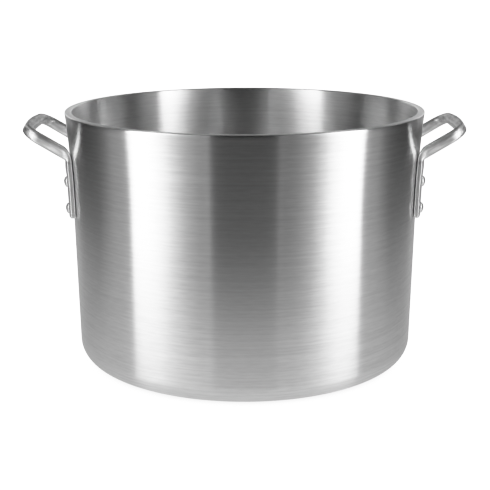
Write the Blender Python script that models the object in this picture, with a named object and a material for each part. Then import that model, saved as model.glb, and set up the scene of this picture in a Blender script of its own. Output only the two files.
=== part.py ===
"""A heavy aluminium stock pot with two riveted loop handles.

The pot body is one turned shell: a straight drafted wall, a rim twice as thick as the wall, and a
thick flat base with a rounded bottom corner. Each handle is one solid bar bent into a loop, with its
two ends flattened into legs that lie on the wall. Every leg is held by two solid rivets, which pass
through the leg and the wall and have a head on both sides.

The frame is in metres with Z up. The base rests on Z = 0, the pot's axis is Z, and the handles are on
the X axis.
"""

import math

import bmesh
import bpy
from mathutils import Matrix, Vector

# Pot body.
RIM_RADIUS = 0.225
POT_HEIGHT = 0.3175
WALL_RADIUS_AT_TOP = 0.2203
WALL_RADIUS_AT_CORNER = 0.2147
CORNER_RADIUS = 0.0243
WALL_THICKNESS = 0.0041
BASE_THICKNESS = 0.008
FLARE_HEIGHT = 0.1115
RIM_OUTER_ROUNDING = 0.0014
RIM_INNER_ROUNDING = 0.0009
BODY_SEGMENTS = 96

# Handles. A bar's width is measured in the loop's own tilted plane, and its depth is square to that.
ARM_SPACING = 0.121
ARM_RISE = math.radians(30.5)
GRIP_CENTRE_X = 0.2659
GRIP_CENTRE_Z = 0.2976
GRIP_CORNER_RADIUS = 0.018
ARM_DEPTH = 0.0142
GRIP_DEPTH = 0.0128
BAR_WIDTH = 0.0114
# The grip's outer side bows out past the arms' width, and its inner side stays straight.
CORNER_SWELL = 0.0006
GRIP_SWELL = 0.0030
GRIP_LIFT = 0.0004
LEG_THICKNESS = 0.0067
LEG_TOP_THICKNESS = 0.0073
LEG_SWELL_Z = 0.2425
LEG_TOP_Z = 0.252
LEG_WIDTH = 0.019
LEG_BOTTOM_Z = 0.1900
LEG_END_LENGTH = 0.0055
BEND_TOUCH_Z = 0.262
BEND_INNER_RADIUS = 0.020
BEND_OUTER_RADIUS = 0.003
ARM_SQUARE_LENGTH = 0.014
BAR_ROUNDNESS = 2.7
LEG_ROUNDNESS = 4.5
SECTION_POINTS = 16

# Rivets.
RIVET_HEIGHTS = {"upper": 0.2356, "lower": 0.2023}
RIVET_HEAD_RADIUS = 0.0066
RIVET_HEAD_HEIGHT = 0.0037
RIVET_HEAD_EDGE = 0.0006
RIVET_SHANK_RADIUS = 0.0034
RIVET_INNER_HEAD_RADIUS = 0.0062
RIVET_INNER_HEAD_HEIGHT = 0.0018
RIVET_SEGMENTS = 20

# The gaps left between two pieces that touch on the real pot. The inner head is flat and the wall is
# hollow there, so its gap is measured at the shank.
CLEARANCE = 0.0003
INNER_HEAD_CLEARANCE = 0.0004
CUTTER_OVERRUN = 0.003

# How far round from the X axis each leg stands.
LEG_ANGLE = math.asin(0.5 * ARM_SPACING / (WALL_RADIUS_AT_TOP + CLEARANCE + 0.5 * LEG_THICKNESS))


def clear_scene():
    """Removes everything that a new file holds."""
    for thing in list(bpy.data.objects):
        bpy.data.objects.remove(thing, do_unlink=True)
    for mesh in list(bpy.data.meshes):
        bpy.data.meshes.remove(mesh)
    for material in list(bpy.data.materials):
        bpy.data.materials.remove(material)


def make_material(name, colour, roughness):
    """A bare aluminium surface."""
    material = bpy.data.materials.new(name)
    material.use_nodes = True
    shader = material.node_tree.nodes["Principled BSDF"]
    shader.inputs["Base Color"].default_value = (*colour, 1.0)
    shader.inputs["Roughness"].default_value = roughness
    shader.inputs["Metallic"].default_value = 1.0
    return material


def make_object(name, mesh, material):
    """Links an object with smooth shading that keeps its hard edges."""
    if not mesh.materials:
        mesh.materials.append(material)
    thing = bpy.data.objects.new(name, mesh)
    bpy.context.scene.collection.objects.link(thing)
    mesh.shade_smooth()
    mesh.set_sharp_from_angle(angle=math.radians(35.0))
    return thing


def mesh_from_rings(name, rings):
    """A closed mesh through rings of points. A ring of one point is a pole, and ends are capped flat."""
    mesh = bpy.data.meshes.new(name)
    body = bmesh.new()
    made = [[body.verts.new(point) for point in ring] for ring in rings]
    for near, far in zip(made, made[1:]):
        count = max(len(near), len(far))
        for i in range(count):
            j = (i + 1) % count
            if len(near) == 1:
                corners = [near[0], far[j], far[i]]
            elif len(far) == 1:
                corners = [near[i], near[j], far[0]]
            else:
                corners = [near[i], near[j], far[j], far[i]]
            body.faces.new(corners)
    for end in (made[0], made[-1]):
        if len(end) > 1:
            body.faces.new(end)
    bmesh.ops.recalc_face_normals(body, faces=body.faces)
    body.to_mesh(mesh)
    body.free()
    return mesh


def turned_rings(profile, segments):
    """The rings of a profile of (radius, height) points turned around the Z axis."""
    rings = []
    for radius, height in profile:
        if radius == 0.0:
            rings.append([Vector((0.0, 0.0, height))])
            continue
        ring = []
        for i in range(segments):
            angle = 2.0 * math.pi * i / segments
            ring.append(Vector((radius * math.cos(angle), radius * math.sin(angle), height)))
        rings.append(ring)
    return rings


def arc(centre, radius, start, end, steps):
    """Points of a circular arc in a plane, with both ends."""
    points = []
    for i in range(steps + 1):
        angle = start + (end - start) * i / steps
        points.append((centre[0] + radius * math.cos(angle), centre[1] + radius * math.sin(angle)))
    return points


# The wall.


def wall_line(height):
    """The drafted outer wall without the thickening below the rim."""
    share = (height - CORNER_RADIUS) / (POT_HEIGHT - CORNER_RADIUS)
    return WALL_RADIUS_AT_CORNER + share * (WALL_RADIUS_AT_TOP - WALL_RADIUS_AT_CORNER)


def outer_radius(height):
    """The outer wall, which swells smoothly into the thick rim over the flare's height."""
    rise = max(0.0, (height - (POT_HEIGHT - FLARE_HEIGHT)) / FLARE_HEIGHT)
    return wall_line(height) + (RIM_RADIUS - WALL_RADIUS_AT_TOP) * rise * rise


def inner_radius(height):
    """The inner wall, which is straight from the rim to the bottom corner."""
    return wall_line(height) - WALL_THICKNESS


def wall_slope(height):
    """How far the outer wall leans out, as an angle from upright."""
    step = 0.001
    return math.atan((outer_radius(height + step) - outer_radius(height - step)) / (2.0 * step))


def body_profile():
    """The shell's section, from the middle of the floor inside to the middle of the underside."""
    inner_corner = CORNER_RADIUS - WALL_THICKNESS
    corner_top = BASE_THICKNESS + inner_corner
    inner_centre = (inner_radius(corner_top) - inner_corner, corner_top)
    points = [(0.0, BASE_THICKNESS), (0.5 * inner_centre[0], BASE_THICKNESS)]
    points += arc(inner_centre, inner_corner, -0.5 * math.pi, 0.0, 7)
    points.append((inner_radius(0.5 * (corner_top + POT_HEIGHT)), 0.5 * (corner_top + POT_HEIGHT)))

    inner_edge = RIM_INNER_ROUNDING
    edge_centre = (inner_radius(POT_HEIGHT - inner_edge) + inner_edge, POT_HEIGHT - inner_edge)
    points += arc(edge_centre, inner_edge, math.pi, 0.5 * math.pi, 3)

    outer_edge = RIM_OUTER_ROUNDING
    edge_centre = (RIM_RADIUS - outer_edge, POT_HEIGHT - outer_edge)
    points += arc(edge_centre, outer_edge, 0.5 * math.pi, 0.0, 4)

    flare_steps = 8
    for i in range(1, flare_steps + 1):
        height = POT_HEIGHT - outer_edge - (FLARE_HEIGHT - outer_edge) * i / flare_steps
        points.append((outer_radius(height), height))
    middle = 0.5 * (CORNER_RADIUS + POT_HEIGHT - FLARE_HEIGHT)
    points.append((outer_radius(middle), middle))

    outer_centre = (WALL_RADIUS_AT_CORNER - CORNER_RADIUS, CORNER_RADIUS)
    points += arc(outer_centre, CORNER_RADIUS, 0.0, -0.5 * math.pi, 8)
    points += [(0.5 * outer_centre[0], 0.0), (0.0, 0.0)]
    return points


def make_pot_body(material):
    """The turned shell, before its rivet holes are cut."""
    mesh = mesh_from_rings("pot_body", turned_rings(body_profile(), BODY_SEGMENTS))
    return make_object("pot_body", mesh, material)


# The handles.


def section_ring(centre, across, through, width, thickness, roundness):
    """One section of the bar: a rounded shape between an ellipse and a rectangle."""
    ring = []
    for i in range(SECTION_POINTS):
        angle = 2.0 * math.pi * (i + 0.5) / SECTION_POINTS
        cosine = math.cos(angle)
        sine = math.sin(angle)
        u = math.copysign(abs(cosine) ** (2.0 / roundness), cosine) * 0.5 * width
        v = math.copysign(abs(sine) ** (2.0 / roundness), sine) * 0.5 * thickness
        ring.append(centre + across * u + through * v)
    return ring


def leg_thickness(height):
    """The leg is an even plate that swells a little where it nears the bend."""
    share = min(1.0, max(0.0, (height - LEG_SWELL_Z) / (LEG_TOP_Z - LEG_SWELL_Z)))
    return LEG_THICKNESS + share * (LEG_TOP_THICKNESS - LEG_THICKNESS)


def leg_section(height, width_share, thickness_share):
    """A section of the front leg: (centre, across, through, width, thickness, roundness)."""
    full = leg_thickness(height)
    slope = wall_slope(height)
    outward = Vector((math.cos(LEG_ANGLE), -math.sin(LEG_ANGLE), 0.0))
    normal = outward * math.cos(slope) - Vector((0.0, 0.0, math.sin(slope)))
    across = Vector((math.sin(LEG_ANGLE), math.cos(LEG_ANGLE), 0.0))
    on_wall = outward * outer_radius(height) + Vector((0.0, 0.0, height))
    centre = on_wall + normal * (CLEARANCE + 0.5 * full)
    return (centre, across, -normal, LEG_WIDTH * width_share, full * thickness_share, LEG_ROUNDNESS)


def arm_line(x, offset):
    """The height of a line along the arm at x, where the offset is square to the arm's middle line."""
    return GRIP_CENTRE_Z + (x - GRIP_CENTRE_X) * math.tan(ARM_RISE) + offset / math.cos(ARM_RISE)


def bend_side(x, radius, offset, steps):
    """One side of the bend in the plane of the leg and the arm, from upright to the arm's direction."""
    turn = 0.5 * math.pi - ARM_RISE
    end_x = x + radius * (1.0 - math.cos(turn))
    start_z = arm_line(end_x, offset) - radius * math.sin(turn)
    points = []
    for i in range(steps + 1):
        angle = turn * i / steps
        points.append((x + radius * (1.0 - math.cos(angle)), start_z + radius * math.sin(angle)))
    return points


def section_between(wall_side, outer_side, turn, width, roundness, y):
    """A section of the front arm or bend, from the points on its two sides in the XZ plane."""
    middle = (0.5 * (wall_side[0] + outer_side[0]), 0.5 * (wall_side[1] + outer_side[1]))
    step = Vector((wall_side[0] - outer_side[0], wall_side[1] - outer_side[1]))
    thickness = step.length
    step.normalize()
    through = Vector((step.x * math.cos(turn), -step.x * math.sin(turn), step.y))
    across = Vector((math.sin(turn), math.cos(turn), 0.0))
    centre = Vector((middle[0], y, middle[1]))
    return (centre, across, through, width, thickness, roundness)


def mixed(start, end, share):
    """A value between two others."""
    return start + (end - start) * share


def front_half_sections():
    """The bar's sections from the bottom of the front leg to the middle of the grip."""
    sections = []

    # The leg's end is rounded off at its corners and edges.
    for rise, width_share, thickness_share in ((0.0, 0.62, 0.62), (0.0006, 0.76, 0.86), (0.002, 0.90, 1.0)):
        sections.append(leg_section(LEG_BOTTOM_Z + rise, width_share, thickness_share))
    spans = 4
    for i in range(spans + 1):
        height = mixed(LEG_BOTTOM_Z + LEG_END_LENGTH, LEG_SWELL_Z, i / spans)
        sections.append(leg_section(height, 1.0, 1.0))
    sections.append(leg_section(LEG_TOP_Z, 1.0, 1.0))

    # The bend from the leg into the arm, where the flat leg thickens into the bar.
    steps = 6
    top = sections[-1]
    wall_x = (top[0] + top[2] * 0.5 * LEG_TOP_THICKNESS).x
    outer_x = (top[0] - top[2] * 0.5 * LEG_TOP_THICKNESS).x
    wall_x += outer_radius(BEND_TOUCH_Z) - outer_radius(LEG_TOP_Z)
    wall_side = bend_side(wall_x, BEND_INNER_RADIUS, 0.5 * ARM_DEPTH, steps)
    outer_side = bend_side(outer_x, BEND_OUTER_RADIUS, -0.5 * ARM_DEPTH, steps)
    leg_y = top[0].y
    arm_y = -0.5 * ARM_SPACING
    for i in range(steps + 1):
        share = i / (steps + 3)
        sections.append(
            section_between(
                wall_side[i],
                outer_side[i],
                mixed(LEG_ANGLE, 0.0, share),
                mixed(LEG_WIDTH, BAR_WIDTH, share),
                mixed(LEG_ROUNDNESS, BAR_ROUNDNESS, share),
                mixed(leg_y, arm_y, share),
            )
        )

    # The straight arm. Its sections turn square to it one after the other.
    along = Vector((math.cos(ARM_RISE), 0.0, math.sin(ARM_RISE)))
    upward = Vector((-math.sin(ARM_RISE), 0.0, math.cos(ARM_RISE)))
    sideways = Vector((0.0, 1.0, 0.0))
    grip_centre = Vector((GRIP_CENTRE_X, 0.0, GRIP_CENTRE_Z))
    arm_end = grip_centre - along * GRIP_CORNER_RADIUS + sideways * arm_y
    arm_start_wall = wall_side[-1][0]
    arm_start_outer = outer_side[-1][0]
    square_centre = arm_end - along * ARM_SQUARE_LENGTH
    square_wall = (square_centre + upward * 0.5 * ARM_DEPTH).x
    square_outer = (square_centre - upward * 0.5 * ARM_DEPTH).x
    for i in (1, 2, 3):
        share = i / 3.0
        x_wall = mixed(arm_start_wall, square_wall, share)
        x_outer = mixed(arm_start_outer, square_outer, share)
        turn_share = (steps + i) / (steps + 3)
        sections.append(
            section_between(
                (x_wall, arm_line(x_wall, 0.5 * ARM_DEPTH)),
                (x_outer, arm_line(x_outer, -0.5 * ARM_DEPTH)),
                mixed(LEG_ANGLE, 0.0, turn_share),
                mixed(LEG_WIDTH, BAR_WIDTH, turn_share),
                mixed(LEG_ROUNDNESS, BAR_ROUNDNESS, turn_share),
                arm_y,
            )
        )

    # The corner turns from the arm to the grip in the handle's own tilted plane.
    turns = 7
    pivot = arm_end + sideways * GRIP_CORNER_RADIUS
    for i in range(turns + 1):
        share = i / turns
        angle = 0.5 * math.pi * share
        inward = sideways * math.cos(angle) - along * math.sin(angle)
        swell = CORNER_SWELL * share
        centre = pivot - inward * (GRIP_CORNER_RADIUS + 0.5 * swell) + upward * (GRIP_LIFT * share)
        depth = mixed(ARM_DEPTH, GRIP_DEPTH, (i + 2) / (turns + 2))
        sections.append((centre, inward, upward, BAR_WIDTH + swell, depth, BAR_ROUNDNESS))

    # The grip, from the corner to its middle.
    spans = 4
    for i in range(1, spans + 1):
        share = i / spans
        swell = mixed(CORNER_SWELL, GRIP_SWELL, 1.0 - (1.0 - share) ** 2)
        centre = pivot + along * (GRIP_CORNER_RADIUS + 0.5 * swell) + upward * GRIP_LIFT
        centre.y *= 1.0 - share
        sections.append((centre, -along, upward, BAR_WIDTH + swell, GRIP_DEPTH, BAR_ROUNDNESS))
    return sections


def mirrored(section):
    """The section's twin on the other side of the XZ plane."""
    centre, across, through, width, thickness, roundness = section
    flip = Vector((1.0, -1.0, 1.0))
    return (centre * flip, across * flip, through * flip, width, thickness, roundness)


def handle_mesh():
    """The whole loop of the handle on the +X side."""
    front = front_half_sections()
    back = [mirrored(section) for section in reversed(front[:-1])]
    rings = [section_ring(*section) for section in front + back]
    return mesh_from_rings("handle", rings)


def make_handle(name, mesh, turn, material):
    """One handle, turned around the pot's axis to its side."""
    handle = make_object(name, mesh, material)
    handle.rotation_euler = (0.0, 0.0, turn)
    return handle


# The rivets.


def rivet_grip(height):
    """The length of shank between the two heads."""
    wall = outer_radius(height) - inner_radius(height)
    return CLEARANCE + leg_thickness(height) + CLEARANCE + wall + INNER_HEAD_CLEARANCE


def rivet_mesh(height):
    """A rivet along Z. Its outer head sits on Z = 0 and its shank runs down from there."""
    grip = rivet_grip(height)
    profile = [(0.0, RIVET_HEAD_HEIGHT)]
    steps = 5
    for i in range(1, steps + 1):
        angle = 0.5 * math.pi * i / steps
        radius = RIVET_HEAD_RADIUS * math.sin(angle)
        profile.append((radius, RIVET_HEAD_EDGE + (RIVET_HEAD_HEIGHT - RIVET_HEAD_EDGE) * math.cos(angle)))
    profile.append((RIVET_HEAD_RADIUS, 0.0))
    profile.append((RIVET_SHANK_RADIUS, 0.0))
    profile.append((RIVET_SHANK_RADIUS, -grip))
    profile.append((RIVET_INNER_HEAD_RADIUS, -grip))
    profile.append((RIVET_INNER_HEAD_RADIUS, -grip - 0.4 * RIVET_INNER_HEAD_HEIGHT))
    profile.append((0.75 * RIVET_INNER_HEAD_RADIUS, -grip - 0.9 * RIVET_INNER_HEAD_HEIGHT))
    profile.append((0.0, -grip - RIVET_INNER_HEAD_HEIGHT))
    return mesh_from_rings("rivet", turned_rings(profile, RIVET_SEGMENTS))


def rivet_placement(angle, height):
    """Where a rivet's outer head sits, with its axis square to the wall."""
    slope = wall_slope(height)
    outward = Vector((math.cos(angle), math.sin(angle), 0.0))
    normal = outward * math.cos(slope) - Vector((0.0, 0.0, math.sin(slope)))
    on_wall = outward * outer_radius(height) + Vector((0.0, 0.0, height))
    seat = on_wall + normal * (2.0 * CLEARANCE + leg_thickness(height))
    turn = Vector((0.0, 0.0, 1.0)).rotation_difference(normal)
    return Matrix.Translation(seat) @ turn.to_matrix().to_4x4()


def make_rivet(name, mesh, placement, material):
    """One rivet in its place."""
    rivet = make_object(name, mesh, material)
    rivet.matrix_world = placement
    return rivet


def make_cutter(name, placement, height):
    """A rod that cuts a rivet's hole."""
    radius = RIVET_SHANK_RADIUS + CLEARANCE
    bottom = -rivet_grip(height) - CUTTER_OVERRUN
    profile = [(0.0, CUTTER_OVERRUN), (radius, CUTTER_OVERRUN), (radius, bottom), (0.0, bottom)]
    mesh = mesh_from_rings(name, turned_rings(profile, RIVET_SEGMENTS))
    cutter = bpy.data.objects.new(name, mesh)
    bpy.context.scene.collection.objects.link(cutter)
    cutter.matrix_world = placement
    cutter.hide_render = True
    cutter.display_type = "WIRE"
    return cutter


def cut_hole(target, cutter):
    """Subtracts a cutter from a piece."""
    cut = target.modifiers.new("cut_" + cutter.name, "BOOLEAN")
    cut.operation = "DIFFERENCE"
    cut.solver = "EXACT"
    cut.object = cutter


def main():
    clear_scene()
    body_metal = make_material("brushed_aluminium", (0.80, 0.81, 0.82), 0.30)
    handle_metal = make_material("polished_aluminium", (0.84, 0.84, 0.85), 0.22)
    rivet_metal = make_material("rivet_aluminium", (0.82, 0.82, 0.83), 0.28)

    pot_body = make_pot_body(body_metal)
    shared_handle = handle_mesh()
    handles = {
        "right": make_handle("handle_right", shared_handle, 0.0, handle_metal),
        "left": make_handle("handle_left", shared_handle, math.pi, handle_metal),
    }
    rivet_meshes = {level: rivet_mesh(height) for level, height in RIVET_HEIGHTS.items()}

    # Front is towards -Y.
    angles = {
        ("right", "front"): -LEG_ANGLE,
        ("right", "back"): LEG_ANGLE,
        ("left", "front"): math.pi + LEG_ANGLE,
        ("left", "back"): math.pi - LEG_ANGLE,
    }
    for (side, end), angle in angles.items():
        for level, height in RIVET_HEIGHTS.items():
            placement = rivet_placement(angle, height)
            make_rivet(f"rivet_{side}_{end}_{level}", rivet_meshes[level], placement, rivet_metal)
            cutter = make_cutter(f"hole_{side}_{end}_{level}", placement, height)
            cut_hole(pot_body, cutter)
            cut_hole(handles[side], cutter)
    bpy.context.view_layer.update()


main()
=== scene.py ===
"""The looks of the aluminium stock pot: its pieces, metals, studio and camera.

The pot body, both handles and the rivets are made again here with finer rounding and edges than the
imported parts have, from the same few dimensions. Everything is in metres with Z up. The pot stands on
Z = 0 with its axis on Z, its handles on the X axis and its front towards -Y.
"""

import math
from collections import namedtuple

import bmesh
import bpy
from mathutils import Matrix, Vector


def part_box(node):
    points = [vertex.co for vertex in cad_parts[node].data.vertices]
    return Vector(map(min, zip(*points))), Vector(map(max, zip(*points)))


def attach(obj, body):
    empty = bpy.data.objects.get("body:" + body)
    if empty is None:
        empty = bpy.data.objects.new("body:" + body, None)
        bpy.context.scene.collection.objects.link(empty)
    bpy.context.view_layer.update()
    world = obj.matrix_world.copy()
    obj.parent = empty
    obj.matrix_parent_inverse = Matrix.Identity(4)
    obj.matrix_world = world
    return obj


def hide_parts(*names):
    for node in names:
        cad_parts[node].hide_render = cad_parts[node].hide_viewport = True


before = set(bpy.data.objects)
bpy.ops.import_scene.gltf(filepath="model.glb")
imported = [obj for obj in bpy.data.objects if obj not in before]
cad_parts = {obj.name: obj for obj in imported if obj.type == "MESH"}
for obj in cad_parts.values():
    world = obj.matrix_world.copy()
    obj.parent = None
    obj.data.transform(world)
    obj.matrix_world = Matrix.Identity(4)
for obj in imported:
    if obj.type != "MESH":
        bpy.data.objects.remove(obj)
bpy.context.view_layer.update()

SCENE = bpy.context.scene
# Light goes many times between the walls inside the pot, and between the handles and the wall.
SCENE.cycles.glossy_bounces = 8

# Pot body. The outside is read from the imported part.
BODY_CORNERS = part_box("pot_body")
RIM_RADIUS = BODY_CORNERS[1].x
POT_HEIGHT = BODY_CORNERS[1].z
WALL_RADIUS_AT_TOP = RIM_RADIUS - 0.0047
WALL_RADIUS_AT_CORNER = RIM_RADIUS - 0.0103
CORNER_RADIUS = 0.0243
WALL_THICKNESS = 0.0041
BASE_THICKNESS = 0.008
FLARE_HEIGHT = 0.1115
RIM_OUTER_ROUNDING = 0.0014
RIM_INNER_ROUNDING = 0.0009
BODY_SEGMENTS = 288

# Handles. A bar's width is measured in the loop's own tilted plane, and its depth is square to that.
ARM_SPACING = 0.121
ARM_RISE = math.radians(30.5)
GRIP_CENTRE_X = 0.2659
GRIP_CENTRE_Z = 0.2976
GRIP_CORNER_RADIUS = 0.018
ARM_DEPTH = 0.0142
GRIP_DEPTH = 0.0128
BAR_WIDTH = 0.0114
# The grip's outer side bows out past the arms' width, and its inner side stays straight.
CORNER_SWELL = 0.0006
GRIP_SWELL = 0.0030
GRIP_LIFT = 0.0004
LEG_THICKNESS = 0.0067
LEG_TOP_THICKNESS = 0.0073
LEG_SWELL_Z = 0.2425
LEG_TOP_Z = 0.252
LEG_WIDTH = 0.019
LEG_BOTTOM_Z = 0.1900
LEG_END_LENGTH = 0.0055
# The rounding of a leg's end: its share of that length, and the shares of the leg's full width and
# thickness where it starts and where it is done.
LEG_END_ROUNDING = 0.4
LEG_END_WIDTHS = (0.55, 0.96)
LEG_END_THICKNESSES = (0.50, 1.0)
BEND_TOUCH_Z = 0.262
BEND_INNER_RADIUS = 0.020
BEND_OUTER_RADIUS = 0.003
ARM_SQUARE_LENGTH = 0.014
# A roundness of 2 is an ellipse, and a larger one comes closer to a rectangle.
BAR_ROUNDNESS = 2.7
LEG_ROUNDNESS = 4.5
SECTION_POINTS = 48

# Rivets.
RIVET_HEIGHTS = {"upper": 0.2356, "lower": 0.2023}
RIVET_HEAD_RADIUS = 0.0066
RIVET_HEAD_HEIGHT = 0.0037
RIVET_HEAD_EDGE = 0.0006
RIVET_SHANK_RADIUS = 0.0034
RIVET_INNER_HEAD_RADIUS = 0.0062
RIVET_INNER_HEAD_HEIGHT = 0.0018
RIVET_INNER_HEAD_EDGE = 0.35 * RIVET_INNER_HEAD_HEIGHT
RIVET_SEGMENTS = 48

# The gaps that pieces keep, and how far round from the X axis the legs stand to suit the arms.
CLEARANCE = 0.0003
INNER_HEAD_CLEARANCE = 0.0004
LEG_ANGLE = math.asin(0.5 * ARM_SPACING / (WALL_RADIUS_AT_TOP + CLEARANCE + 0.5 * LEG_THICKNESS))

# Edges that turn by more than this stay crisp.
SHARP_ANGLE = math.radians(40.0)

# The metals. Noises are in cells per metre, tones are the darkest and the lightest, and a dullness is
# what a noise adds to the roughness.
BODY_ROUGHNESS = 0.275
BODY_WEAR = 6.0
BODY_WEAR_DULLNESS = 0.02
BODY_TONES = (0.81, 0.94)
# The body's streaks: cells round the pot, and cells across the grooves.
LONG_STREAKS = (1.6, 300.0)
MIDDLE_STREAKS = (16.0, 450.0)
SHORT_STREAKS = (70.0, 500.0)
MIDDLE_STREAK_SHARE = 0.45
SHORT_STREAK_SHARE = 0.35
# How far a groove leans the body's surface, as a slope.
GROOVE_LEAN = 0.03
HANDLE_ROUGHNESS = 0.46
HANDLE_PATCHES = 60.0
HANDLE_PATCH_DULLNESS = 0.03
# The legs' tones are painted lighter than the arms': a painted sheen for the brighter light that the legs
# reflect.
LEG_PAINTED_SHEEN_TONES = (0.85, 1.0)
ARM_TONES = (0.60, 1.0)
# The handles' lines: cells across them and along them.
FINE_LINES = 300.0
LONG_LINES = 40.0
LINE_DULLNESS = 0.02
LINE_RELIEF = 0.4
RIVET_ROUGHNESS = 0.42
RIVET_TONE = 0.92
RIVET_GRAIN = 400.0
RIVET_GRAIN_DULLNESS = 0.06
# How far a noise strays from its middle before it has its full effect, in patches and in streaks.
PATCH_REACH = 0.2
STREAK_REACH = 0.15

# Camera.
SENSOR_WIDTH = 36.0
CAMERA_DISTANCE = 1.4445
CAMERA_HEIGHT = 0.5085
CAMERA_PITCH = 0.2509
CAMERA_ROLL = math.radians(-0.1)
CAMERA_LENS = 84.23
CAMERA_SHIFT = (0.0004, 0.001)
# The least brightness that shows as pure white, and the curve up to it: (light, shown).
WHITE_LEVEL = 1.8
FILM_CURVE = ((0.35, 0.35), (0.7, 0.7), (1.0, 0.875), (1.4, 0.965))

# Studio. Two tall soft panels stand at the pot's front left and front right, and the camera looks
# through the dark gap between them. Ends are (x, y) on the floor, and stops are (y, brightness).
PANEL_HEIGHT = 1.1
LEFT_PANEL_FAR = (-0.66, -0.305)
LEFT_PANEL_NEAR = (-0.45, -1.25)
LEFT_PANEL_STOPS = (
    (-1.23, 1.0), (-1.19, 0.44), (-1.04, 0.38), (-0.82, 0.62),
    (-0.68, 0.99), (-0.57, 1.7), (-0.47, 2.5), (-0.38, 2.9),
)
RIGHT_PANEL_FAR = (0.84, -0.31)
RIGHT_PANEL_NEAR = (0.46, -1.30)
RIGHT_PANEL_STOPS = (
    (-1.28, 0.6), (-1.24, 0.17), (-1.00, 0.23), (-0.82, 0.49),
    (-0.69, 0.98), (-0.58, 1.9), (-0.48, 3.0), (-0.38, 3.4),
)
# The panels' upper part is brighter, and the change runs between two heights.
UPPER_PANEL_GAIN = 1.45
UPPER_PANEL_CHANGE = (0.4, 0.6)

# The lit patch of floor round the pot, a painted pool of light: its brightness in front and behind, how
# far it reaches to the front and the back, and how far to the sides in front of the pot and behind it.
GLOW_LEVEL_FRONT = 0.68
GLOW_LEVEL_BACK = 0.42
GLOW_LEVEL_CHANGE = (-0.30, 0.05)
GLOW_REACH_FRONT = 0.53
GLOW_REACH_BACK = 4.3
GLOW_SIDE_FRONT = 1.5
GLOW_SIDE_BACK = 0.86
GLOW_SIDE_CHANGE = (-0.10, 0.10)
# The share of the patch's reach where it starts to fade.
GLOW_FADE_START = 0.88
FLOOR_SIZE = 12.0
FLOOR_GAP = 0.0002
# The painted shadow at the pot's foot: its reach, how open the floor is where it ends, and the
# floor's brightness from deep in it to out of it, where 1 is white.
FOOT_SHADOW_REACH = 0.03
FOOT_SHADOW_END = 0.4
FOOT_SHADOW_TONES = (0.55, 1.05)
BACKGROUND_TONE = 1.05

# The room behind the panels: (degrees from the front, brightness), the same to left and right.
ROOM_STOPS = (
    (50, 0.0), (58, 0.46), (76, 0.42), (86, 0.1), (96, 0.08), (102, 0.16), (110, 0.0),
    (136, 0.0), (141, 0.78), (160, 0.78), (171, 0.30), (178, 0.9),
)
# The same above the walls' height, where little but the pot's inside and its rim looks.
UPPER_ROOM_STOPS = ((120, 0.0), (126, 1.2), (134, 1.2), (138, 0.0))
CEILING_BRIGHTNESS = 0.08
# Where the room changes from wall to upper wall and to ceiling, as sines of the angle upward.
UPPER_ROOM_CHANGE = (0.34, 0.50)
CEILING_CHANGE = (0.80, 0.95)


# Mesh helpers.


def mesh_from_rings(name, rings):
    """A closed mesh through rings of points. A ring of one point is a pole, and ends are capped flat."""
    mesh = bpy.data.meshes.new(name)
    body = bmesh.new()
    made = [[body.verts.new(point) for point in ring] for ring in rings]
    for near, far in zip(made, made[1:]):
        count = max(len(near), len(far))
        for i in range(count):
            j = (i + 1) % count
            if len(near) == 1:
                corners = [near[0], far[j], far[i]]
            elif len(far) == 1:
                corners = [near[i], near[j], far[0]]
            else:
                corners = [near[i], near[j], far[j], far[i]]
            body.faces.new(corners)
    for end in (made[0], made[-1]):
        if len(end) > 1:
            body.faces.new(end)
    bmesh.ops.recalc_face_normals(body, faces=body.faces)
    body.to_mesh(mesh)
    body.free()
    return mesh


def turned_rings(profile, segments):
    """The rings of a profile of (radius, height) points turned around the Z axis."""
    rings = []
    for radius, height in profile:
        if radius == 0.0:
            rings.append([Vector((0.0, 0.0, height))])
            continue
        ring = []
        for i in range(segments):
            angle = 2.0 * math.pi * i / segments
            ring.append(Vector((radius * math.cos(angle), radius * math.sin(angle), height)))
        rings.append(ring)
    return rings


def arc(centre, radius, start, end, steps):
    """Points of a circular arc in a plane, with both ends."""
    points = []
    for i in range(steps + 1):
        angle = start + (end - start) * i / steps
        points.append((centre[0] + radius * math.cos(angle), centre[1] + radius * math.sin(angle)))
    return points


def mixed(start, end, share):
    """A value between two others."""
    return start + (end - start) * share


def add_piece(name, mesh, material, slot, *nodes):
    """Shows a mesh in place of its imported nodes."""
    mesh.materials.append(material)
    mesh.shade_smooth()
    mesh.set_sharp_from_angle(angle=SHARP_ANGLE)
    piece = bpy.data.objects.new(name, mesh)
    SCENE.collection.objects.link(piece)
    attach(piece, "root")
    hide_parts(*nodes)
    return piece


# The pot body.


def wall_line(height):
    """The drafted outer wall without the thickening below the rim."""
    share = (height - CORNER_RADIUS) / (POT_HEIGHT - CORNER_RADIUS)
    return mixed(WALL_RADIUS_AT_CORNER, WALL_RADIUS_AT_TOP, share)


def outer_radius(height):
    """The outer wall, which swells smoothly into the thick rim over the flare's height."""
    rise = max(0.0, (height - (POT_HEIGHT - FLARE_HEIGHT)) / FLARE_HEIGHT)
    return wall_line(height) + (RIM_RADIUS - WALL_RADIUS_AT_TOP) * rise * rise


def inner_radius(height):
    """The inner wall, which is straight from the rim to the bottom corner."""
    return wall_line(height) - WALL_THICKNESS


def wall_slope(height):
    """How far the outer wall leans out, as an angle from upright."""
    step = 0.001
    return math.atan((outer_radius(height + step) - outer_radius(height - step)) / (2.0 * step))


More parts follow.
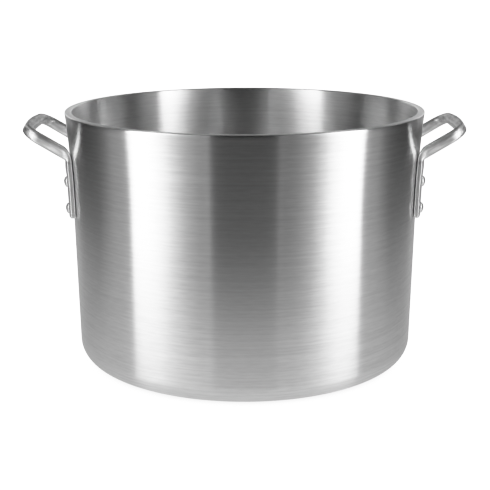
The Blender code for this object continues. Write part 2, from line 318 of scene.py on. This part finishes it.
def body_profile():
    """The shell's section, from the middle of the floor inside to the middle of the underside."""
    inner_corner = CORNER_RADIUS - WALL_THICKNESS
    corner_top = BASE_THICKNESS + inner_corner
    inner_centre = (inner_radius(corner_top) - inner_corner, corner_top)
    floor_steps = 6
    points = [(inner_centre[0] * i / floor_steps, BASE_THICKNESS) for i in range(floor_steps)]
    points += arc(inner_centre, inner_corner, -0.5 * math.pi, 0.0, steps=14)
    wall_steps = 12
    for i in range(1, wall_steps):
        height = mixed(corner_top, POT_HEIGHT - RIM_INNER_ROUNDING, i / wall_steps)
        points.append((inner_radius(height), height))

    inner_edge = RIM_INNER_ROUNDING
    edge_centre = (inner_radius(POT_HEIGHT - inner_edge) + inner_edge, POT_HEIGHT - inner_edge)
    points += arc(edge_centre, inner_edge, math.pi, 0.5 * math.pi, steps=6)

    outer_edge = RIM_OUTER_ROUNDING
    edge_centre = (RIM_RADIUS - outer_edge, POT_HEIGHT - outer_edge)
    points += arc(edge_centre, outer_edge, 0.5 * math.pi, 0.0, steps=8)

    flare_steps = 24
    for i in range(1, flare_steps + 1):
        height = POT_HEIGHT - outer_edge - (FLARE_HEIGHT - outer_edge) * i / flare_steps
        points.append((outer_radius(height), height))
    low_steps = 8
    for i in range(1, low_steps):
        height = mixed(POT_HEIGHT - FLARE_HEIGHT, CORNER_RADIUS, i / low_steps)
        points.append((outer_radius(height), height))

    outer_centre = (WALL_RADIUS_AT_CORNER - CORNER_RADIUS, CORNER_RADIUS)
    points += arc(outer_centre, CORNER_RADIUS, 0.0, -0.5 * math.pi, steps=20)
    for i in range(1, floor_steps + 1):
        points.append((outer_centre[0] * (floor_steps - i) / floor_steps, 0.0))
    return points


# The handles.

# The directions of a handle's own tilted plane: along its arms, square to the plane, and sideways.
ALONG = Vector((math.cos(ARM_RISE), 0.0, math.sin(ARM_RISE)))
UPWARD = Vector((-math.sin(ARM_RISE), 0.0, math.cos(ARM_RISE)))
SIDEWAYS = Vector((0.0, 1.0, 0.0))
FRONT_ARM_Y = -0.5 * ARM_SPACING
GRIP_CENTRE = Vector((GRIP_CENTRE_X, 0.0, GRIP_CENTRE_Z))
FRONT_ARM_END = GRIP_CENTRE - ALONG * GRIP_CORNER_RADIUS + SIDEWAYS * FRONT_ARM_Y
FRONT_CORNER_PIVOT = FRONT_ARM_END + SIDEWAYS * GRIP_CORNER_RADIUS

# One section of the bar. Its width lies across and its thickness lies through.
Section = namedtuple("Section", "centre across through width thickness roundness")


def section_ring(section):
    """The points round a section, on a rounded shape between an ellipse and a rectangle."""
    ring = []
    power = 2.0 / section.roundness
    for i in range(SECTION_POINTS):
        angle = 2.0 * math.pi * (i + 0.5) / SECTION_POINTS
        cosine = math.cos(angle)
        sine = math.sin(angle)
        u = math.copysign(abs(cosine) ** power, cosine) * 0.5 * section.width
        v = math.copysign(abs(sine) ** power, sine) * 0.5 * section.thickness
        ring.append(section.centre + section.across * u + section.through * v)
    return ring


def leg_thickness(height):
    """The leg is an even plate that swells a little where it nears the bend."""
    share = min(1.0, max(0.0, (height - LEG_SWELL_Z) / (LEG_TOP_Z - LEG_SWELL_Z)))
    return mixed(LEG_THICKNESS, LEG_TOP_THICKNESS, share)


def leg_section(height, width_share=1.0, thickness_share=1.0):
    """A section of the front leg, which lies flat on the wall."""
    full = leg_thickness(height)
    slope = wall_slope(height)
    outward = Vector((math.cos(LEG_ANGLE), -math.sin(LEG_ANGLE), 0.0))
    normal = outward * math.cos(slope) - Vector((0.0, 0.0, math.sin(slope)))
    across = Vector((math.sin(LEG_ANGLE), math.cos(LEG_ANGLE), 0.0))
    on_wall = outward * outer_radius(height) + Vector((0.0, 0.0, height))
    centre = on_wall + normal * (CLEARANCE + 0.5 * full)
    return Section(centre, across, -normal, LEG_WIDTH * width_share, full * thickness_share, LEG_ROUNDNESS)


def leg_sections():
    """The front leg, from its rounded-off bottom end to its top below the bend."""
    sections = []
    end_steps = 6
    rounding_length = LEG_END_ROUNDING * LEG_END_LENGTH
    for i in range(end_steps + 1):
        share = i / end_steps
        rounded = math.sqrt(1.0 - (1.0 - share) ** 2)
        height = LEG_BOTTOM_Z + rounding_length * share * share
        width_share = mixed(*LEG_END_WIDTHS, rounded)
        thickness_share = mixed(*LEG_END_THICKNESSES, rounded)
        sections.append(leg_section(height, width_share, thickness_share))
    plate_steps = 12
    for i in range(plate_steps + 1):
        sections.append(leg_section(mixed(LEG_BOTTOM_Z + LEG_END_LENGTH, LEG_SWELL_Z, i / plate_steps)))
    for share in (0.33, 0.67, 1.0):
        sections.append(leg_section(mixed(LEG_SWELL_Z, LEG_TOP_Z, share)))
    return sections


def arm_line(x, offset):
    """The height of a line along the arm at x, where the offset is square to the arm's middle line."""
    return GRIP_CENTRE_Z + (x - GRIP_CENTRE_X) * math.tan(ARM_RISE) + offset / math.cos(ARM_RISE)


def bend_side(x, radius, offset, steps):
    """One side of the bend in the plane of the leg and the arm, from upright to the arm's direction."""
    turn = 0.5 * math.pi - ARM_RISE
    end_x = x + radius * (1.0 - math.cos(turn))
    start_z = arm_line(end_x, offset) - radius * math.sin(turn)
    points = []
    for i in range(steps + 1):
        angle = turn * i / steps
        points.append((x + radius * (1.0 - math.cos(angle)), start_z + radius * math.sin(angle)))
    return points


def arm_side(start_x, offset, steps):
    """One side of the arm, from the bend to where the arm's sections are square to it."""
    end_x = (FRONT_ARM_END - ALONG * ARM_SQUARE_LENGTH + UPWARD * offset).x
    points = []
    for i in range(1, steps + 1):
        x = mixed(start_x, end_x, i / steps)
        points.append((x, arm_line(x, offset)))
    return points


def section_between(wall_point, outer_point, turn, width, roundness, y):
    """A section of the front arm or bend, from the points on its two sides in the XZ plane."""
    middle = (0.5 * (wall_point[0] + outer_point[0]), 0.5 * (wall_point[1] + outer_point[1]))
    step = Vector((wall_point[0] - outer_point[0], wall_point[1] - outer_point[1]))
    thickness = step.length
    step.normalize()
    through = Vector((step.x * math.cos(turn), -step.x * math.sin(turn), step.y))
    across = Vector((math.sin(turn), math.cos(turn), 0.0))
    centre = Vector((middle[0], y, middle[1]))
    return Section(centre, across, through, width, thickness, roundness)


def bend_and_arm_sections(leg_top):
    """The bend and the straight arm, over which the flat leg turns and narrows into the round bar."""
    bend_steps = 18
    arm_steps = 9
    half_depth = 0.5 * ARM_DEPTH
    wall_x = (leg_top.centre + leg_top.through * 0.5 * LEG_TOP_THICKNESS).x
    wall_x += outer_radius(BEND_TOUCH_Z) - outer_radius(LEG_TOP_Z)
    outer_x = (leg_top.centre - leg_top.through * 0.5 * LEG_TOP_THICKNESS).x
    wall_side = bend_side(wall_x, BEND_INNER_RADIUS, half_depth, bend_steps)
    wall_side += arm_side(wall_side[-1][0], half_depth, arm_steps)
    outer_side = bend_side(outer_x, BEND_OUTER_RADIUS, -half_depth, bend_steps)
    outer_side += arm_side(outer_side[-1][0], -half_depth, arm_steps)

    sections = []
    for i, (wall_point, outer_point) in enumerate(zip(wall_side, outer_side)):
        share = i / (bend_steps + arm_steps)
        turn = mixed(LEG_ANGLE, 0.0, share)
        width = mixed(LEG_WIDTH, BAR_WIDTH, share)
        roundness = mixed(LEG_ROUNDNESS, BAR_ROUNDNESS, share)
        y = mixed(leg_top.centre.y, FRONT_ARM_Y, share)
        sections.append(section_between(wall_point, outer_point, turn, width, roundness, y))
    return sections


def corner_sections():
    """The front corner, which turns from the arm to the grip in the handle's tilted plane."""
    sections = []
    steps = 24
    for i in range(steps + 1):
        share = i / steps
        angle = 0.5 * math.pi * share
        inward = SIDEWAYS * math.cos(angle) - ALONG * math.sin(angle)
        swell = CORNER_SWELL * share
        outer = FRONT_CORNER_PIVOT - inward * (GRIP_CORNER_RADIUS + 0.5 * swell)
        centre = outer + UPWARD * (GRIP_LIFT * share)
        depth = mixed(ARM_DEPTH, GRIP_DEPTH, (i + 2) / (steps + 2))
        sections.append(Section(centre, inward, UPWARD, BAR_WIDTH + swell, depth, BAR_ROUNDNESS))
    return sections


def grip_sections():
    """The front half of the grip, which bows out towards its middle."""
    sections = []
    steps = 12
    for i in range(1, steps + 1):
        share = i / steps
        swell = mixed(CORNER_SWELL, GRIP_SWELL, 1.0 - (1.0 - share) ** 2)
        outer = FRONT_CORNER_PIVOT + ALONG * (GRIP_CORNER_RADIUS + 0.5 * swell)
        centre = outer + UPWARD * GRIP_LIFT
        centre.y *= 1.0 - share
        sections.append(Section(centre, -ALONG, UPWARD, BAR_WIDTH + swell, GRIP_DEPTH, BAR_ROUNDNESS))
    return sections


def mirrored(section):
    """The section's twin on the other side of the XZ plane."""
    flip = Vector((1.0, -1.0, 1.0))
    return section._replace(
        centre=section.centre * flip,
        across=section.across * flip,
        through=section.through * flip,
    )


def handle_mesh(name, side):
    """The whole loop of a handle. The side is 1 for +X and -1 for -X."""
    front = leg_sections()
    front += bend_and_arm_sections(front[-1])
    front += corner_sections() + grip_sections()
    back = [mirrored(section) for section in reversed(front[:-1])]
    rings = [section_ring(section) for section in front + back]
    half_turn = Vector((side, side, 1.0))
    return mesh_from_rings(name, [[point * half_turn for point in ring] for ring in rings])


# The rivets.


def rivet_grip(height):
    """The length of shank between the two heads."""
    wall = outer_radius(height) - inner_radius(height)
    return CLEARANCE + leg_thickness(height) + CLEARANCE + wall + INNER_HEAD_CLEARANCE


def rivet_profile(height):
    """A rivet's section. Its outer head sits on height 0 and its shank runs down from there."""
    grip = rivet_grip(height)
    profile = [(0.0, RIVET_HEAD_HEIGHT)]
    dome_steps = 14
    for i in range(1, dome_steps + 1):
        angle = 0.5 * math.pi * i / dome_steps
        rise = (RIVET_HEAD_HEIGHT - RIVET_HEAD_EDGE) * math.cos(angle)
        profile.append((RIVET_HEAD_RADIUS * math.sin(angle), RIVET_HEAD_EDGE + rise))
    profile.append((RIVET_HEAD_RADIUS, 0.0))
    profile.append((RIVET_SHANK_RADIUS, 0.0))
    profile.append((RIVET_SHANK_RADIUS, -grip))
    profile.append((RIVET_INNER_HEAD_RADIUS, -grip))
    crown_steps = 8
    crown_height = RIVET_INNER_HEAD_HEIGHT - RIVET_INNER_HEAD_EDGE
    for i in range(crown_steps):
        angle = 0.5 * math.pi * i / crown_steps
        drop = RIVET_INNER_HEAD_EDGE + crown_height * math.sin(angle)
        profile.append((RIVET_INNER_HEAD_RADIUS * math.cos(angle), -grip - drop))
    profile.append((0.0, -grip - RIVET_INNER_HEAD_HEIGHT))
    return profile


def rivet_mesh(name, angle, height):
    """A rivet in its place, with its axis square to the wall."""
    slope = wall_slope(height)
    outward = Vector((math.cos(angle), math.sin(angle), 0.0))
    normal = outward * math.cos(slope) - Vector((0.0, 0.0, math.sin(slope)))
    on_wall = outward * outer_radius(height) + Vector((0.0, 0.0, height))
    seat = on_wall + normal * (2.0 * CLEARANCE + leg_thickness(height))
    turn = Vector((0.0, 0.0, 1.0)).rotation_difference(normal)
    rings = turned_rings(rivet_profile(height), RIVET_SEGMENTS)
    return mesh_from_rings(name, [[seat + turn @ point for point in ring] for ring in rings])


# Node helpers.


class Nodes:
    """Adds nodes to one tree and joins them."""

    def __init__(self, tree):
        self.tree = tree

    def add(self, kind, values=None, **settings):
        """A new node. An input's value is another node's socket, which is joined, or a plain value."""
        node = self.tree.nodes.new(kind)
        for name, value in settings.items():
            setattr(node, name, value)
        for name, value in (values or {}).items():
            if isinstance(value, bpy.types.NodeSocket):
                self.tree.links.new(value, node.inputs[name])
            else:
                node.inputs[name].default_value = value
        return node

    def math(self, operation, first, second=0.0):
        return self.add("ShaderNodeMath", {0: first, 1: second}, operation=operation).outputs[0]

    def spread(self, value, low, high, to_low, to_high, smooth=False):
        """Maps one range of values onto another."""
        values = {"Value": value, "From Min": low, "From Max": high, "To Min": to_low, "To Max": to_high}
        kind = "SMOOTHSTEP" if smooth else "LINEAR"
        return self.add("ShaderNodeMapRange", values, interpolation_type=kind).outputs["Result"]

    def graded(self, noise, low, high, reach=PATCH_REACH):
        """Maps a noise, which keeps near its middle of 0.5, onto a range."""
        return self.spread(noise, 0.5 - reach, 0.5 + reach, low, high)

    def stepped(self, value, stops):
        """A line through (value, result) stops, level before the first and after the last."""
        result = stops[0][1]
        for (start, low), (end, high) in zip(stops, stops[1:]):
            result = self.math("ADD", result, self.spread(value, start, end, 0.0, high - low))
        return result

    def blend(self, first, second, share):
        """The first value where the share is 0 and the second where it is 1."""
        return self.add("ShaderNodeMix", {0: share, 2: first, 3: second}).outputs[0]

    def noise(self, vector, scale, detail):
        values = {"Vector": vector, "Scale": scale, "Detail": detail}
        return self.add("ShaderNodeTexNoise", values).outputs["Fac"]

    def vector(self, x, y, z):
        return self.add("ShaderNodeCombineXYZ", {0: x, 1: y, 2: z}).outputs[0]

    def vector_math(self, operation, first, second):
        return self.add("ShaderNodeVectorMath", {0: first, 1: second}, operation=operation).outputs[0]

    def scaled(self, vector, size):
        return self.add("ShaderNodeVectorMath", {0: vector, "Scale": size}, operation="SCALE").outputs[0]

    def unit(self, vector):
        return self.add("ShaderNodeVectorMath", {0: vector}, operation="NORMALIZE").outputs[0]

    def length(self, vector):
        return self.add("ShaderNodeVectorMath", {0: vector}, operation="LENGTH").outputs["Value"]

    def grey(self, value):
        return self.add("ShaderNodeCombineColor", {0: value, 1: value, 2: value}).outputs[0]

    def join(self, output, target):
        self.tree.links.new(output, target)


def new_material(name):
    """A material with only its shader, and the helper for its nodes."""
    material = bpy.data.materials.new(name)
    material.use_nodes = True
    nodes = Nodes(material.node_tree)
    return material, nodes, material.node_tree.nodes["Principled BSDF"]


def metal_shader(shader, tone, roughness):
    """A plain grey metal, before its noises."""
    shader.inputs["Metallic"].default_value = 1.0
    shader.inputs["Base Color"].default_value = (tone, tone, tone, 1.0)
    shader.inputs["Roughness"].default_value = roughness


# The metals.


def brushed_aluminium():
    """The body: turned and brushed in circles, so its streaks run round the pot.

    Each groove leans the surface up or down a little, and together they smear every reflection upright
    and leave it sharp sideways.
    """
    material, nodes, shader = new_material("brushed_aluminium")
    metal_shader(shader, BODY_TONES[1], BODY_ROUGHNESS)
    # The tangent follows the grooves, and a quarter turn lays the smear across them.
    shader.inputs["Anisotropic"].default_value = 1.0
    shader.inputs["Anisotropic Rotation"].default_value = 0.25

    place = nodes.add("ShaderNodeTexCoord").outputs["Object"]
    x, y, z = nodes.add("ShaderNodeSeparateXYZ", {0: place}).outputs
    radius = nodes.length(nodes.vector(x, y, 0.0))
    around = nodes.unit(nodes.vector(nodes.math("MULTIPLY", y, -1.0), x, 0.0))
    nodes.join(around, shader.inputs["Tangent"])

    # A groove keeps its height on the wall and its radius on the floor and the rim.
    groove = nodes.math("ADD", z, radius)

    def streaks(around_scale, groove_scale):
        spot = nodes.vector(
            nodes.math("MULTIPLY", x, around_scale),
            nodes.math("MULTIPLY", y, around_scale),
            nodes.math("MULTIPLY", groove, groove_scale),
        )
        return nodes.noise(spot, 1.0, detail=1.0)

    longer = nodes.blend(streaks(*LONG_STREAKS), streaks(*MIDDLE_STREAKS), MIDDLE_STREAK_SHARE)
    streak = nodes.blend(longer, streaks(*SHORT_STREAKS), SHORT_STREAK_SHARE)
    shade = nodes.graded(streak, *BODY_TONES, reach=STREAK_REACH)
    nodes.join(nodes.grey(shade), shader.inputs["Base Color"])
    wear = nodes.noise(place, BODY_WEAR, detail=3.0)
    dullness = nodes.graded(wear, BODY_ROUGHNESS, BODY_ROUGHNESS + BODY_WEAR_DULLNESS)
    nodes.join(dullness, shader.inputs["Roughness"])

    lean = nodes.spread(streak, 0.0, 1.0, -GROOVE_LEAN, GROOVE_LEAN)
    normal = nodes.add("ShaderNodeNewGeometry").outputs["Normal"]
    across = nodes.vector_math("CROSS_PRODUCT", normal, around)
    leaning = nodes.vector_math("ADD", normal, nodes.scaled(across, lean))
    nodes.join(nodes.unit(leaning), shader.inputs["Normal"])
    return material


def polished_aluminium():
    """The handles: solid bars with a worn polish, and fine lines that run along the bar."""
    material, nodes, shader = new_material("polished_aluminium")
    metal_shader(shader, ARM_TONES[1], HANDLE_ROUGHNESS)
    place = nodes.add("ShaderNodeTexCoord").outputs["Object"]
    x, y, z = nodes.add("ShaderNodeSeparateXYZ", {0: place}).outputs

    # The arm runs out and up at its own tilt, and the two handles mirror each other.
    out = nodes.math("ABSOLUTE", x)
    rise = math.sin(ARM_RISE)
    run = math.cos(ARM_RISE)
    along = nodes.math("ADD", nodes.math("MULTIPLY", out, run), nodes.math("MULTIPLY", z, rise))
    above = nodes.math("SUBTRACT", nodes.math("MULTIPLY", z, run), nodes.math("MULTIPLY", out, rise))

    def lines(*scaled_parts):
        spot = nodes.vector(*[nodes.math("MULTIPLY", part, scale) for part, scale in scaled_parts])
        return nodes.noise(spot, 1.0, detail=2.0)

    leg_lines = lines((out, FINE_LINES), (y, FINE_LINES), (z, LONG_LINES))
    arm_lines = lines((along, LONG_LINES), (y, FINE_LINES), (above, FINE_LINES))
    grip_lines = lines((along, FINE_LINES), (y, LONG_LINES), (above, FINE_LINES))
    arm_share = nodes.spread(z, LEG_TOP_Z, BEND_TOUCH_Z, 0.0, 1.0)
    grip_start = GRIP_CENTRE_X * run + GRIP_CENTRE_Z * rise - GRIP_CORNER_RADIUS
    grip_share = nodes.spread(along, grip_start, grip_start + GRIP_CORNER_RADIUS, 0.0, 1.0)
    line = nodes.blend(nodes.blend(leg_lines, arm_lines, arm_share), grip_lines, grip_share)
    patches = nodes.noise(place, HANDLE_PATCHES, detail=3.0)

    # Between their lines the arms are darker than the legs, whose tones are painted lighter as a painted
    # sheen for the brighter light the legs reflect.
    darkest = nodes.blend(LEG_PAINTED_SHEEN_TONES[0], ARM_TONES[0], arm_share)
    shade = nodes.graded(line, darkest, ARM_TONES[1], reach=STREAK_REACH)
    nodes.join(nodes.grey(shade), shader.inputs["Base Color"])
    polished = HANDLE_ROUGHNESS - HANDLE_PATCH_DULLNESS
    dulled = HANDLE_ROUGHNESS + HANDLE_PATCH_DULLNESS
    patch_roughness = nodes.graded(patches, polished, dulled)
    line_dullness = nodes.graded(line, LINE_DULLNESS, -LINE_DULLNESS)
    nodes.join(nodes.math("ADD", patch_roughness, line_dullness), shader.inputs["Roughness"])
    height = nodes.math("ADD", nodes.math("MULTIPLY", line, LINE_RELIEF), patches)
    bump = nodes.add("ShaderNodeBump", {"Height": height, "Strength": 0.35, "Distance": 0.0006})
    nodes.join(bump.outputs["Normal"], shader.inputs["Normal"])
    return material


def rivet_aluminium():
    """The rivets: struck heads with a fine grain."""
    material, nodes, shader = new_material("rivet_aluminium")
    metal_shader(shader, RIVET_TONE, RIVET_ROUGHNESS)
    place = nodes.add("ShaderNodeTexCoord").outputs["Object"]
    grain = nodes.noise(place, RIVET_GRAIN, detail=3.0)
    smoothest = RIVET_ROUGHNESS - RIVET_GRAIN_DULLNESS
    roughest = RIVET_ROUGHNESS + RIVET_GRAIN_DULLNESS
    nodes.join(nodes.graded(grain, smoothest, roughest), shader.inputs["Roughness"])
    bump = nodes.add("ShaderNodeBump", {"Height": grain, "Strength": 0.25, "Distance": 0.0004})
    nodes.join(bump.outputs["Normal"], shader.inputs["Normal"])
    return material


# The studio.


def make_camera():
    """Looks at the pot's front from a little above its rim."""
    data = bpy.data.cameras.new("camera")
    data.sensor_width = SENSOR_WIDTH
    data.lens = CAMERA_LENS
    data.shift_x, data.shift_y = CAMERA_SHIFT
    camera = bpy.data.objects.new("camera", data)
    camera.location = (0.0, -CAMERA_DISTANCE, CAMERA_HEIGHT)
    camera.rotation_euler = (0.5 * math.pi - CAMERA_PITCH, 0.0, 0.0)
    camera.rotation_euler.rotate_axis("Z", CAMERA_ROLL)
    SCENE.collection.objects.link(camera)
    SCENE.camera = camera


def set_film_response():
    """The camera's own curve: straight up to the highlights, which then roll off to white."""
    view = SCENE.view_settings
    view.view_transform = "Standard"
    view.use_curve_mapping = True
    curve = view.curve_mapping
    curve.white_level = (WHITE_LEVEL,) * 3
    curve.black_level = (0.0,) * 3
    tone = curve.curves[3]
    for light, shown in FILM_CURVE:
        tone.points.new(light / WHITE_LEVEL, shown)
    curve.update()


def make_world():
    """White to the camera. Everything else sees a dim room with a bright wall behind the pot."""
    world = bpy.data.worlds.new("studio")
    SCENE.world = world
    world.use_nodes = True
    world.node_tree.nodes.clear()
    nodes = Nodes(world.node_tree)
    direction = nodes.add("ShaderNodeTexCoord").outputs["Generated"]
    x, y, upward = nodes.add("ShaderNodeSeparateXYZ", {0: direction}).outputs
    turned = nodes.math("ARCTAN2", x, nodes.math("MULTIPLY", y, -1.0))
    azimuth = nodes.math("MULTIPLY", nodes.math("ABSOLUTE", turned), 180.0 / math.pi)

    low_walls = nodes.stepped(azimuth, ROOM_STOPS)
    upper_walls = nodes.stepped(azimuth, UPPER_ROOM_STOPS)
    upper_share = nodes.spread(upward, *UPPER_ROOM_CHANGE, 0.0, 1.0, smooth=True)
    walls = nodes.blend(low_walls, upper_walls, upper_share)
    ceiling = nodes.spread(upward, *CEILING_CHANGE, 0.0, CEILING_BRIGHTNESS, smooth=True)
    strength = nodes.math("ADD", walls, ceiling)

    pure_white = (1.0, 1.0, 1.0, 1.0)
    room = nodes.add("ShaderNodeBackground", {"Color": pure_white, "Strength": strength})
    backdrop = BACKGROUND_TONE * WHITE_LEVEL
    white = nodes.add("ShaderNodeBackground", {"Color": pure_white, "Strength": backdrop})
    is_camera = nodes.add("ShaderNodeLightPath").outputs["Is Camera Ray"]
    chosen = nodes.add("ShaderNodeMixShader", {0: is_camera, 1: room.outputs[0], 2: white.outputs[0]})
    output = nodes.add("ShaderNodeOutputWorld")
    nodes.join(chosen.outputs[0], output.inputs["Surface"])


def lit_patch(nodes, x, y):
    """The floor's painted glow to everything but the camera, a pool of light set by its place on the
    floor.
    """
    level = nodes.spread(y, *GLOW_LEVEL_CHANGE, GLOW_LEVEL_FRONT, GLOW_LEVEL_BACK)
    backward = nodes.math("MULTIPLY", y, 1.0 / GLOW_REACH_BACK)
    forward = nodes.math("MULTIPLY", y, -1.0 / GLOW_REACH_FRONT)
    side_scale = nodes.spread(y, *GLOW_SIDE_CHANGE, 1.0 / GLOW_SIDE_FRONT, 1.0 / GLOW_SIDE_BACK)
    sideways = nodes.math("MULTIPLY", x, side_scale)
    distance = nodes.length(nodes.vector(sideways, nodes.math("MAXIMUM", backward, forward), 0.0))
    inside = nodes.spread(distance, GLOW_FADE_START, 1.0, 1.0, 0.0)
    return nodes.math("MULTIPLY", level, inside)


def make_floor():
    """A white floor that glows. The camera sees it overexposed, apart from a painted shadow at the pot's
    foot, and everything else sees a painted pool of light round the pot.
    """
    half = 0.5 * FLOOR_SIZE
    mesh = bpy.data.meshes.new("floor")
    corners = [(-half, -half, 0.0), (half, -half, 0.0), (half, half, 0.0), (-half, half, 0.0)]
    mesh.from_pydata(corners, [], [(0, 1, 2, 3)])
    floor = bpy.data.objects.new("floor", mesh)
    floor.location.z = -FLOOR_GAP
    SCENE.collection.objects.link(floor)

    material = bpy.data.materials.new("floor_white")
    material.use_nodes = True
    material.node_tree.nodes.clear()
    nodes = Nodes(material.node_tree)
    place = nodes.add("ShaderNodeNewGeometry").outputs["Position"]
    parts = nodes.add("ShaderNodeSeparateXYZ", {0: place})
    lit_level = lit_patch(nodes, parts.outputs[0], parts.outputs[1])
    # A painted pool of light: the floor glows for everything but the camera.
    lit = nodes.add("ShaderNodeEmission", {"Strength": lit_level})
    # A painted shadow: the floor's white glow is darkened where the pot closes the floor in.
    shadow = nodes.add("ShaderNodeAmbientOcclusion", {"Distance": FOOT_SHADOW_REACH}, samples=8)
    tone = nodes.spread(shadow.outputs["AO"], 0.0, FOOT_SHADOW_END, *FOOT_SHADOW_TONES)
    shown = nodes.add("ShaderNodeEmission", {"Strength": nodes.math("MULTIPLY", tone, WHITE_LEVEL)})
    is_camera = nodes.add("ShaderNodeLightPath").outputs["Is Camera Ray"]
    chosen = nodes.add("ShaderNodeMixShader", {0: is_camera, 1: lit.outputs[0], 2: shown.outputs[0]})
    output = nodes.add("ShaderNodeOutputMaterial")
    nodes.join(chosen.outputs[0], output.inputs["Surface"])
    mesh.materials.append(material)


def make_panel(name, far, near, stops):
    """A tall soft panel between two points on the floor, facing the pot. Stops are (y, brightness)."""
    along = Vector((near[0] - far[0], near[1] - far[1], 0.0))
    upright = Vector((0.0, 0.0, 1.0))
    middle = Vector((0.5 * (near[0] + far[0]), 0.5 * (near[1] + far[1]), 0.5 * PANEL_HEIGHT))
    facing = along.cross(upright).normalized()
    if facing.dot(middle) > 0.0:
        facing = -facing
    data = bpy.data.lights.new(name, "AREA")
    data.shape = "RECTANGLE"
    data.size = along.length
    data.size_y = PANEL_HEIGHT
    # An area light of this power has a brightness of one before its nodes.
    data.energy = math.pi * data.size * data.size_y
    data.use_nodes = True
    tree = data.node_tree
    tree.nodes.clear()
    nodes = Nodes(tree)
    place = nodes.add("ShaderNodeNewGeometry").outputs["Position"]
    parts = nodes.add("ShaderNodeSeparateXYZ", {0: place})
    upper = nodes.spread(parts.outputs[2], *UPPER_PANEL_CHANGE, 1.0, UPPER_PANEL_GAIN, smooth=True)
    strength = nodes.math("MULTIPLY", nodes.stepped(parts.outputs[1], stops), upper)
    glow = nodes.add("ShaderNodeEmission", {"Strength": strength})
    output = nodes.add("ShaderNodeOutputLight")
    nodes.join(glow.outputs[0], output.inputs["Surface"])
    panel = bpy.data.objects.new(name, data)
    panel.location = middle
    panel.rotation_euler = facing.to_track_quat("-Z", "Y").to_euler()
    panel.visible_camera = False
    SCENE.collection.objects.link(panel)


# Putting it together.


def make_pot():
    """The shell, the handles and the rivets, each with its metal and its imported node."""
    body_metal = brushed_aluminium()
    handle_metal = polished_aluminium()
    rivet_metal = rivet_aluminium()

    body = mesh_from_rings("pot_shell", turned_rings(body_profile(), BODY_SEGMENTS))
    add_piece("pot_shell", body, body_metal, "brushed_aluminium", "pot_body")
    for side, sign in (("right", 1.0), ("left", -1.0)):
        name = f"loop_handle_{side}"
        add_piece(name, handle_mesh(name, sign), handle_metal, "polished_aluminium", f"handle_{side}")

    angles = {
        ("right", "front"): -LEG_ANGLE,
        ("right", "back"): LEG_ANGLE,
        ("left", "front"): math.pi + LEG_ANGLE,
        ("left", "back"): math.pi - LEG_ANGLE,
    }
    for (side, end), angle in angles.items():
        for level, height in RIVET_HEIGHTS.items():
            place = f"{side}_{end}_{level}"
            name = f"rivet_head_{place}"
            rivet = rivet_mesh(name, angle, height)
            add_piece(name, rivet, rivet_metal, "rivet_aluminium", f"rivet_{place}")


set_film_response()
make_camera()
make_world()
make_floor()
make_panel("panel_left", LEFT_PANEL_FAR, LEFT_PANEL_NEAR, LEFT_PANEL_STOPS)
make_panel("panel_right", RIGHT_PANEL_FAR, RIGHT_PANEL_NEAR, RIGHT_PANEL_STOPS)
make_pot()
